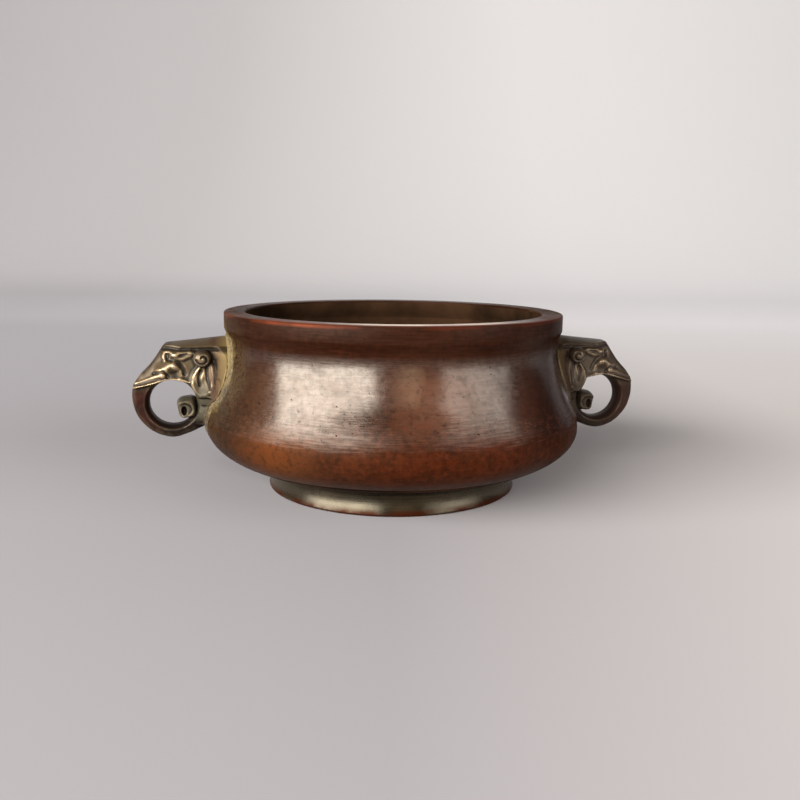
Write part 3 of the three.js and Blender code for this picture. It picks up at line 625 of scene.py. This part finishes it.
class Paint:
    """A material in the making. A value is a number, a colour or another node's output."""

    def __init__(self, name):
        self.material = bpy.data.materials.new(name)
        self.material.use_nodes = True
        self.tree = self.material.node_tree
        self.place = self.node("ShaderNodeTexCoord").outputs["Object"]
        split = self.node("ShaderNodeSeparateXYZ", Vector=self.place)
        self.side, self.front, self.height = (split.outputs[axis] for axis in "XYZ")
        self.colour = None

    def fill(self, owner, key, value):
        """Sets or links a node's input, named as Base_Color or numbered as i0."""
        socket = owner.inputs[int(key[1:]) if key[1:].isdigit() else key.replace("_", " ")]
        if isinstance(value, bpy.types.NodeSocket):
            self.tree.links.new(value, socket)
        else:
            socket.default_value = (*value, 1) if socket.type == "RGBA" else value

    def node(self, kind, settings=None, **inputs):
        made = self.tree.nodes.new(kind)
        for key, value in (settings or {}).items():
            setattr(made, key, value)
        for key, value in inputs.items():
            self.fill(made, key, value)
        return made

    def ramp(self, value, low, high, to_low=0.0, to_high=1.0):
        """A value brought from one range to another, held at its ends."""
        ranges = {"From_Min": low, "From_Max": high, "To_Min": to_low, "To_Max": to_high}
        return self.node("ShaderNodeMapRange", Value=value, **ranges).outputs["Result"]

    def maths(self, operation, first, second=0.0):
        return self.node("ShaderNodeMath", {"operation": operation}, i0=first, i1=second).outputs[0]

    def plus(self, first, second):
        return self.maths("ADD", first, second)

    def times(self, first, *others):
        """The product of one or more values."""
        for other in others:
            first = self.maths("MULTIPLY", first, other)
        return first

    def rest(self, share):
        """What a share leaves of 1."""
        return self.maths("SUBTRACT", 1.0, share)

    def larger(self, first, second):
        return self.maths("MAXIMUM", first, second)

    def vector(self, **parts):
        return self.node("ShaderNodeCombineXYZ", **parts).outputs[0]

    def length(self, **parts):
        made = self.node("ShaderNodeVectorMath", {"operation": "LENGTH"}, i0=self.vector(**parts))
        return made.outputs["Value"]

    def mixed(self, share, first, second):
        """One colour mixed into another."""
        return self.node("ShaderNodeMix", {"data_type": "RGBA"}, i0=share, i6=first, i7=second).outputs[2]

    def layer(self, colour, *shares):
        """Lays a colour over the base colour, as far as the product of the shares says."""
        self.colour = self.mixed(self.times(*shares), self.colour, colour)

    def noise(self, scale, stretch=(1, 1, 1), detail=4.0, rough=0.5, shift=(0, 0, 0)):
        """Noise in the object's own space, stretched along its axes."""
        mapping = self.node("ShaderNodeMapping", Vector=self.place, Scale=stretch, Location=shift).outputs[0]
        made = self.node("ShaderNodeTexNoise", Vector=mapping, Scale=scale, Detail=detail, Roughness=rough)
        return made.outputs[0]

    def bump(self, strength, distance, height, **below):
        made = self.node("ShaderNodeBump", Strength=strength, Distance=distance, Height=height, **below)
        return made.outputs[0]

    def finished(self, **inputs):
        """The material, with its base colour and the shader's other inputs."""
        for key, value in {"Base_Color": self.colour, **inputs}.items():
            self.fill(self.tree.nodes["Principled BSDF"], key, value)
        return self.material


def residue(paint, reach, least=0.0):
    """Ochre residue that fades out round a handle's root: its colour, and how much of it there is."""
    ragged = paint.ramp(paint.noise(150, detail=6, rough=0.65), 0.3, 0.7, -0.22, 0.22)
    across = paint.ramp(paint.front, -0.030, 0.030, -1.9, 1.9)
    up = paint.ramp(paint.height, 0.010, 0.056, -1.7, 1.5)
    away = paint.plus(paint.length(X=across, Y=up), ragged)
    outwards = paint.ramp(paint.maths("ABSOLUTE", paint.side), reach, reach + 0.004)
    share = paint.times(paint.ramp(away, 1.75, 0.95, least, 1.0), outwards)
    specks = paint.ramp(paint.noise(900, detail=5, rough=0.7), 0.44, 0.54)
    specks = paint.larger(specks, paint.ramp(away, 1.15, 0.70))
    tone = paint.mixed(paint.ramp(away, 1.15, 0.75), RESIDUE_THIN, RESIDUE_THICK)
    return tone, paint.times(share, specks)


def bowl_copper():
    """Red-brown patina on turned copper: a polished shoulder, brush lines, blotches, pits and a worn lip,
    with painted light on the lower left and the centre of the front, and painted shade under the lip,
    underneath and on the right.
    """
    paint = Paint("bowl_copper")
    ramp, times, noise, layer = paint.ramp, paint.times, paint.noise, paint.layer
    side, front, height = paint.side, paint.front, paint.height
    blotches = noise(38, detail=6, rough=0.6)
    small = noise(170, detail=5, rough=0.6, shift=(3, 1, 2))
    grain = noise(620, detail=5, rough=0.65, shift=(2, 2, 5))
    lines = noise(1, (150, 150, 2600), detail=3)
    fine = noise(1, (420, 420, 5200), detail=2, shift=(5, 2, 1))
    pits = ramp(noise(1200, detail=3, shift=(1, 4, 2)), 0.68, 0.74)

    # Polish from the shoulder to the neck, with a brushed lower edge
    brushed = paint.plus(height, ramp(lines, 0.3, 0.7, -0.0009, 0.0009))
    brushed = paint.plus(brushed, ramp(side, -0.012, -0.034, 0.0, 0.0005))
    shoulder, under_lip = ramp(brushed, 0.0216, 0.0282), ramp(height, 0.0408, 0.0442, 1.0, 0.05)
    polish = times(shoulder, ramp(blotches, 0.25, 0.5, 0.75, 1.0), under_lip)

    # Patina, from place to place, with painted light on the lower left and the centre of the front, and
    # painted shade under the lip and on the right
    paint.colour = paint.mixed(ramp(blotches, 0.36, 0.64), PATINA_DARK, PATINA_RED)
    belly = ramp(height, 0.026, 0.020)
    layer(BELLY_RED, belly, ramp(small, 0.36, 0.60), 0.55)
    left = ramp(side, -0.006, -0.034)
    layer(LEFT_BROWN, left, ramp(blotches, 0.3, 0.55, 0.5, 1.0), 0.7)
    # Painted light: lighter orange on the lower left
    lit_lower_left = times(ramp(side, -0.026, -0.036), ramp(height, 0.027, 0.021))
    layer(LEFT_LIT_ORANGE, lit_lower_left, ramp(blotches, 0.35, 0.6, 0.2, 0.7))
    left_root = ramp(side, -0.038, -0.049, 0.0, 0.9)
    layer(ROOT_BROWN, left_root)
    # Painted sheen: lighter tan on the upper centre of the front
    off_middle = paint.maths("ABSOLUTE", paint.maths("SUBTRACT", side, 0.003))
    middle_sheen = times(ramp(off_middle, 0.014, 0.003), ramp(height, 0.024, 0.029))
    layer(MIDDLE_SHEEN, middle_sheen, ramp(front, 0.0, -0.02))
    # Painted shade: darker on the neck under the lip
    neck = ramp(height, 0.037, 0.043)
    layer(NECK_SHADE, neck, 0.9)
    # Painted shade: darker to the right, near black low on the far right
    right = ramp(side, 0.012, 0.036)
    layer(RIGHT_SHADE, right, 0.7)
    far_right_shade = times(ramp(side, 0.028, 0.036), ramp(height, 0.018, 0.025))
    layer(FAR_RIGHT_SHADE, far_right_shade, ramp(side, 0.048, 0.044, 0.2, 0.85))

    # Brush lines, grain, painted shade underneath, and pits
    layer(BRUSHED, ramp(lines, 0.4, 0.72, 0.0, 0.15))
    layer(LIGHT_GRAIN, ramp(grain, 0.50, 0.68, 0.0, 0.35), ramp(height, 0.034, 0.026, 0.25, 1.0))
    layer(DARK_GRAIN, ramp(grain, 0.48, 0.36, 0.0, 0.4))
    # Painted shade: darker underneath, more so on the right
    underside = ramp(height, 0.0165, 0.0105)
    layer(UNDER_SHADE, underside, ramp(side, 0.03, -0.03, 1.0, 0.6), 0.7)
    layer(PIT, pits, 0.8)

    # Lip: bare metal on the inner part of its top in front, and a worn outer edge
    radius = paint.length(X=side, Y=front)
    top = ramp(height, HEIGHT - 0.0003, HEIGHT - 0.0001)
    inner = ramp(radius, RIM_RADIUS - 0.0014, RIM_RADIUS - 0.0026)
    bare = paint.mixed(ramp(front, -0.037, -0.045), LIP_BROWN, LIP_BARE)
    layer(paint.mixed(inner, LIP_OUTER, bare), top)
    worn_edge = times(
        ramp(height, HEIGHT - 0.0012, HEIGHT - 0.0006), ramp(noise(60, detail=5), 0.40, 0.56),
        ramp(front, 0.005, -0.015, 0.1, 1.0), ramp(side, -0.012, -0.022, 0.4, 1.0),
    )
    layer(paint.mixed(ramp(side, -0.012, -0.024), EDGE_RED, EDGE_ORANGE), worn_edge)

    # Soot inside, and residue round the handles' roots
    off_inside = paint.maths("SUBTRACT", radius, ramp(height, 0.030, 0.0436, 0.0485, 0.0465))
    above_floor, below_top = ramp(height, 0.0088, 0.0100), ramp(height, HEIGHT - 0.0004, HEIGHT - 0.0008)
    inside = times(ramp(off_inside, 0.0005, 0.0), above_floor, below_top)
    layer(paint.mixed(ramp(blotches, 0.4, 0.6), SOOT_DARK, SOOT_BROWN), inside)
    ochre, smear = residue(paint, 0.040)
    smear = times(smear, paint.rest(inside))
    layer(ochre, smear, 0.85)

    # Gloss, less on soot, residue, pits and the far right
    dull = paint.larger(smear, inside)
    clean = times(paint.rest(dull), paint.rest(pits))
    shine = times(
        ramp(polish, 0.0, 1.0, 0.04, 1.0), clean, ramp(lines, 0.3, 0.6, 0.8, 1.0),
        ramp(small, 0.32, 0.62, 0.76, 1.10), ramp(grain, 0.36, 0.56, 0.82, 1.06),
        ramp(side, 0.030, 0.037, 1.0, 0.15),
    )
    lip_shine = times(top, times(inner, ramp(front, -0.030, -0.045)))
    rough = paint.plus(ramp(polish, 0.0, 1.0, 0.34, 0.18), ramp(fine, 0.3, 0.7, -0.04, 0.06))
    tangent = paint.node("ShaderNodeTangent", {"direction_type": "RADIAL", "axis": "Z"})
    bumps = paint.bump(0.35, 0.00006, noise(520, detail=4))
    return paint.finished(
        Metallic=0.08, Roughness=paint.plus(rough, times(dull, 0.25)),
        Anisotropic=0.4, Tangent=tangent.outputs[0],
        Specular_IOR_Level=times(paint.larger(shine, lip_shine), 0.66), Specular_Tint=(1.0, 0.95, 0.85),
        Normal=paint.bump(0.3, 0.00004, lines, Normal=bumps),
    )


def foot_bronze():
    """Olive-brown patina, red-brown along the standing edge, with a dark line at the joint."""
    paint = Paint("foot_bronze")
    ramp, noise, height = paint.ramp, paint.noise, paint.height
    lines = noise(1, (60, 60, 2200), detail=3)
    paint.colour = paint.mixed(ramp(noise(60, detail=6), 0.38, 0.62), FOOT_DARK, FOOT_OLIVE)
    paint.layer(FOOT_BRUSHED, ramp(lines, 0.4, 0.7, 0.0, 0.4))
    edge = paint.times(ramp(height, 0.0022, 0.0010), ramp(noise(90, detail=5), 0.35, 0.55))
    paint.layer(FOOT_RED, edge)
    joint = ramp(height, 0.0058, 0.0066)
    paint.layer(FOOT_JOINT, joint)
    off_middle = paint.maths("ABSOLUTE", paint.plus(paint.side, 0.002))
    shine = paint.times(
        ramp(off_middle, 0.003, 0.013, 0.20, 0.6), ramp(edge, 0.0, 1.0, 1.0, 0.1),
        ramp(height, 0.0052, 0.0032, 0.5, 1.0),
    )
    bumps = paint.bump(0.35, 0.00006, noise(480, detail=4))
    return paint.finished(
        Metallic=0.15, Roughness=ramp(noise(200, detail=5), 0.3, 0.7, 0.18, 0.34), Specular_IOR_Level=shine,
        Specular_Tint=(1.0, 0.88, 0.66), Normal=paint.bump(0.4, 0.00004, lines, Normal=bumps),
    )


def handle_bronze():
    """Dark bronze, worn bright with painted highlights on what stands out and dull in the hollows, with
    painted shade under the crest and on the right handle.
    """
    paint = Paint("handle_bronze")
    ramp, times, noise, layer = paint.ramp, paint.times, paint.noise, paint.layer
    height, reach = paint.height, paint.maths("ABSOLUTE", paint.side)
    wear = paint.node("ShaderNodeAttribute", {"attribute_name": "wear"}).outputs["Fac"]
    wear = paint.plus(wear, ramp(noise(260, detail=5, rough=0.6), 0.3, 0.7, -0.02, 0.02))

    # Trunk, with a redder bend and an olive tip
    paint.colour = paint.mixed(ramp(noise(90, detail=6), 0.38, 0.62), BRONZE_DARK, BRONZE_BROWN)
    bend = times(ramp(reach, 0.066, 0.0735), ramp(height, 0.034, 0.028))
    layer(BEND_RED, bend, ramp(noise(130, detail=4), 0.40, 0.6, 0.3, 1.0), 0.45)
    tip = times(ramp(reach, 0.0645, 0.0625), ramp(height, 0.020, 0.022))
    layer(TIP_OLIVE, tip, 0.6)

    # Head, and the plate on the wall with its residue
    head = ramp(height, 0.0285, 0.033)
    layer(HEAD_BRONZE, head, 0.8)
    plate = times(ramp(reach, 0.0540, 0.0525), ramp(height, 0.022, 0.027))
    layer(PLATE_BROWN, plate, 0.85)
    ochre, dusted = residue(paint, 0.040, 0.3)
    layer(ochre, dusted, ramp(reach, 0.0520, 0.0485), 0.8)

    # The ear's curl, painted shade along the line under the crest, and the forehead
    centre = (CURL[0] * MM, 0, CURL[1] * MM)
    flat = paint.vector(X=reach, Z=height)
    from_curl = paint.node("ShaderNodeVectorMath", {"operation": "DISTANCE"}, i0=flat, i1=centre)
    curl = ramp(from_curl.outputs["Value"], 0.0029, 0.0023)
    layer(CURL_BROWN, curl, 0.8)
    # Painted shade: a dark band under the crest's edge
    under_crest_shade = times(ramp(height, 0.0401, 0.0409), ramp(height, 0.0424, 0.0420))
    layer(CREST_SHADE, under_crest_shade, 0.8)
    forwards = paint.plus(times(reach, 0.777), times(height, 0.63))
    forehead = times(ramp(forwards, 0.0762, 0.0770), ramp(height, 0.0325, 0.0345))
    layer(FOREHEAD_BROWN, forehead, 0.75)

    # Wear with painted highlights on what stands out, and painted shade on the right handle
    rubbed_highlight = times(
        ramp(wear, 0.05, 0.17), ramp(head, 0.0, 1.0, 0.12, 1.0), ramp(reach, 0.0505, 0.0525),
        ramp(height, 0.0412, 0.0402, 0.1, 1.0), ramp(curl, 0.0, 1.0, 1.0, 0.25),
        ramp(forehead, 0.0, 1.0, 1.0, 0.35),
    )
    layer(RUBBED_HIGHLIGHT, rubbed_highlight)
    layer(HOLLOW, ramp(wear, -0.01, -0.08))
    # Painted shade: darker and browner on the right handle
    layer(RIGHT_HANDLE_SHADE, ramp(paint.side, 0.0, 0.05, 0.0, 0.62))
    gloss = times(
        ramp(head, 0.0, 1.0, 0.10, 0.42), ramp(plate, 0.0, 1.0, 1.0, 0.25), ramp(forehead, 0.0, 1.0, 1.0, 0.5)
    )
    return paint.finished(
        Metallic=ramp(rubbed_highlight, 0.0, 1.0, 0.2, 0.6), Roughness=ramp(wear, -0.03, 0.12, 0.5, 0.25),
        Specular_IOR_Level=gloss, Specular_Tint=(1.0, 0.93, 0.80),
        Normal=paint.bump(0.4, 0.00008, noise(650, detail=5)),
    )


def braze():
    """Rough ochre filler metal, with green and dark specks."""
    paint = Paint("braze")
    ramp, noise = paint.ramp, paint.noise
    paint.colour = paint.mixed(ramp(noise(220, detail=6), 0.36, 0.62), BRAZE_DARK, BRAZE_BROWN)
    paint.layer(*residue(paint, 0.036, 0.35))
    paint.layer(BRAZE_GREEN, ramp(noise(330, detail=5, shift=(2, 5, 1)), 0.58, 0.70, 0.0, 0.35))
    paint.layer(BRAZE_SPECK, ramp(noise(1500, detail=3, shift=(4, 2, 7)), 0.52, 0.62, 0.0, 0.75))
    return paint.finished(
        Metallic=0.1, Roughness=ramp(noise(500, detail=4), 0.3, 0.7, 0.5, 0.85),
        Normal=paint.bump(0.8, 0.00018, noise(1100, detail=6, rough=0.6)),
    )


def rivet_copper():
    """Dull dark copper."""
    paint = Paint("rivet_copper")
    paint.colour = paint.mixed(paint.ramp(paint.noise(300, detail=5), 0.38, 0.62), RIVET_DARK, RIVET_RED)
    return paint.finished(
        Metallic=0.8, Roughness=paint.ramp(paint.noise(700, detail=4), 0.3, 0.7, 0.4, 0.6),
        Normal=paint.bump(0.5, 0.0001, paint.noise(900, detail=4)),
    )


# The pieces
foot_skin = foot_bronze()
dress(bowl(), bowl_copper(), "bowl_copper", "bowl")
dress(foot(), foot_skin, "foot_bronze", "foot_ring")
sculpted("elephant_handle", handle_field, HANDLE_GRID, handle_bronze(), "handle_bronze")
sculpted("handle_braze", braze_field, BRAZE_GRID, braze(), "braze")
rivets = rivet_copper()
for name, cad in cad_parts.items():
    if "rivet" in name or "seam" in name:
        cad.data.materials.clear()
        cad.data.materials.append(rivets if "rivet" in name else foot_skin)


# Stage: a floor that sweeps up into a backdrop
STAGE_REACH = 3.0
STAGE_BACK = 0.9
STAGE_BEND = 1.3


def stage_paper():
    """Matt paper: a darker floor painted lighter to the right, and a backdrop painted paler to the right,
    both evened out by painted light, an emission that camera, glossy and transmission rays see.
    """
    paint = Paint("stage_paper")
    across, back = paint.side, paint.plus(paint.front, paint.height)
    # Painted light: the floor and the backdrop lighter to the right
    floor = paint.mixed(paint.ramp(across, 0.0, 0.17), FLOOR_LEFT, FLOOR_RIGHT_LIT)
    backdrop = paint.mixed(paint.ramp(across, -0.5, 0.5), BACKDROP_LEFT, BACKDROP_RIGHT_LIT)
    paint.colour = paint.mixed(paint.ramp(back, 0.45, 1.15), floor, backdrop)
    light = paint.node("ShaderNodeLightPath").outputs
    seen = paint.larger(light["Is Camera Ray"], light["Is Glossy Ray"])
    seen = paint.larger(seen, light["Is Transmission Ray"])
    # Painted light: emission that camera, glossy and transmission rays see, stronger further back and to the
    # right
    painted_glow = paint.times(paint.ramp(back, 0.05, 0.55), paint.ramp(across, -0.4, 0.30, 0.19, 0.36), seen)
    return paint.finished(
        Roughness=0.9, Specular_IOR_Level=0.2, Emission_Strength=painted_glow, Emission_Color=PAINTED_GLOW
    )


sweep = [(-STAGE_REACH, 0.0), (STAGE_BACK, 0.0)]
sweep += [
    (STAGE_BACK + STAGE_BEND * math.sin(a), STAGE_BEND * (1 - math.cos(a)))
    for a in np.linspace(0, math.pi / 2, 24)[1:]
]
sweep.append((STAGE_BACK + STAGE_BEND, STAGE_REACH))
stage = piece_of(
    "stage",
    np.array([(x, y, z) for y, z in sweep for x in (-STAGE_REACH, STAGE_REACH)]),
    [(2 * k, 2 * k + 1, 2 * k + 3, 2 * k + 2) for k in range(len(sweep) - 1)],
)
stage.rotation_euler.z = CAMERA_AZIMUTH
stage.data.materials.append(stage_paper())


# Light: two windows, a pale strip of wall between them, and a dim room
WINDOW_FOOT = 0.005
WINDOW_DISTANCE = 1.0
ROOM_COLOUR = (0.30, 0.29, 0.29, 1)
ROOM_STRENGTH = 0.2


def window(name, azimuth, top, width, radiance, colour):
    """A soft upright light that faces the vessel and reaches from just over the floor to its top."""
    lamp = bpy.data.lights.new(name, "AREA")
    lamp.shape, lamp.size, lamp.size_y = "RECTANGLE", width, top - WINDOW_FOOT
    lamp.energy, lamp.color = math.pi * width * (top - WINDOW_FOOT) * radiance, colour
    holder = bpy.data.objects.new(name, lamp)
    aim = Vector((-math.cos(math.radians(azimuth)), -math.sin(math.radians(azimuth)), 0))
    holder.location = (-WINDOW_DISTANCE * aim.x, -WINDOW_DISTANCE * aim.y, (WINDOW_FOOT + top) / 2)
    holder.rotation_euler = aim.to_track_quat("-Z", "Y").to_euler()
    holder.visible_camera = False
    bpy.context.scene.collection.objects.link(holder)


window("left_window", azimuth=-143.5, top=0.70, width=1.3, radiance=15, colour=(1.0, 0.96, 0.90))
window("right_window", azimuth=-43.5, top=0.65, width=0.86, radiance=4.8, colour=(1.0, 0.96, 0.92))
window("pale_wall", azimuth=-89, top=0.60, width=0.26, radiance=2.4, colour=(1.0, 0.78, 0.55))

world = bpy.data.worlds.new("room")
bpy.context.scene.world = world
world.use_nodes = True
world.node_tree.nodes["Background"].inputs["Color"].default_value = ROOM_COLOUR
world.node_tree.nodes["Background"].inputs["Strength"].default_value = ROOM_STRENGTH

camera_data = bpy.data.cameras.new("camera")
camera_data.lens = CAMERA_LENS
camera_data.sensor_width = CAMERA_SENSOR
camera_data.shift_x = CAMERA_SHIFT
camera = bpy.data.objects.new("camera", camera_data)
camera.matrix_world = (
    Matrix.Translation(CAMERA_PLACE)
    @ Matrix.Rotation(CAMERA_AZIMUTH, 4, "Z")
    @ Matrix.Rotation(math.pi / 2 - CAMERA_PITCH, 4, "X")
    @ Matrix.Rotation(CAMERA_ROLL, 4, "Z")
)
bpy.context.scene.collection.objects.link(camera)
bpy.context.scene.camera = camera
bpy.context.scene.view_settings.view_transform = "Standard"
